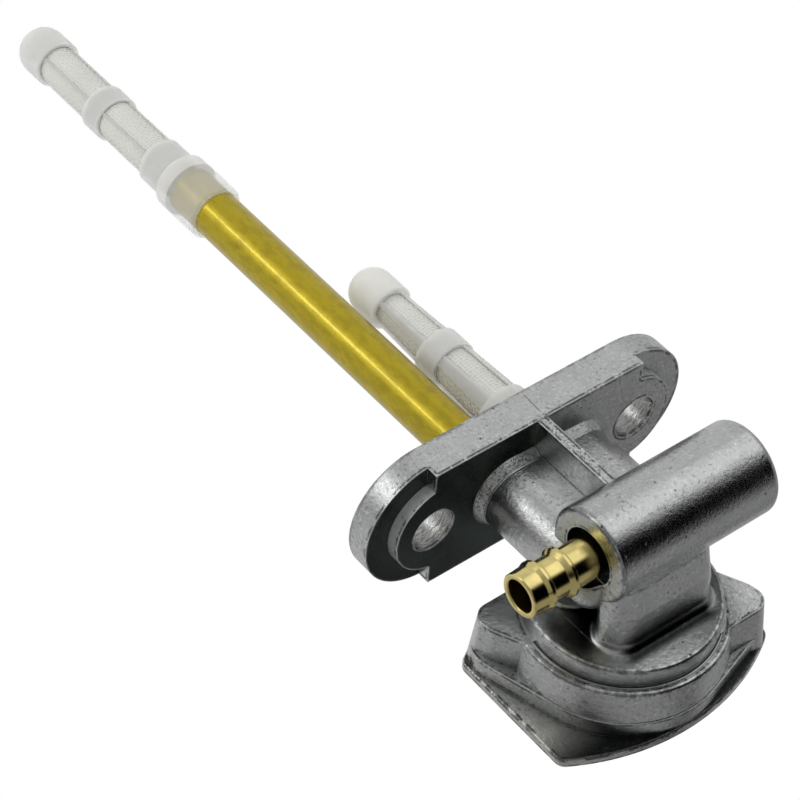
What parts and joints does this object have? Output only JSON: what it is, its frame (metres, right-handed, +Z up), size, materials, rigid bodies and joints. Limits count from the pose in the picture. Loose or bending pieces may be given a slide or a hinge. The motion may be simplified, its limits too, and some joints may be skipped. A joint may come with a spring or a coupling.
{
  "type": "fuel tap",
  "caption": "Fuel tap for a small petrol tank: bolt-on flange, standpipe with strainer, shorter reserve strainer, side hose outlet and a lever that turns.",
  "frame": {"origin": "middle of the bolt holes on the flange face that meets the tank", "axes": "+Z up into the tank along the standpipe, +X out of the hose outlet, -Y towards the lever"},
  "size_m": [0.0528, 0.0421, 0.1441],
  "materials": {
    "casting": "as cast, satin",
    "casting_plate": "satin",
    "standpipe_brass": "tarnished",
    "barb_brass": "polished",
    "nylon": "frosted",
    "gauze": "woven",
    "rubber": "matt",
    "steel": "zinc plated"
  },
  "bodies": {
    "tap": {"body_casting": "casting", "standpipe": "standpipe_brass", "main_strainer_frame": "nylon", "main_strainer_gauze": "gauze", "reserve_strainer_frame": "nylon", "reserve_strainer_gauze": "gauze", "flange_seal": "rubber", "hose_barb": "barb_brass", "valve_seal": "rubber", "spring_washer": "steel", "cover_plate": "casting_plate", "cover_screw_upper": "steel", "cover_screw_lower": "steel"},
    "lever": {"lever": "casting", "rotor_o_ring": "rubber"}
  },
  "joints": [
    {"name": "lever_turn", "type": "hinge", "parent": "tap", "child": "lever", "pos_m": [0, -0.0187, -0.0239], "axis": [0, 1, 0], "range_deg": [-90, 90]}
  ]
}
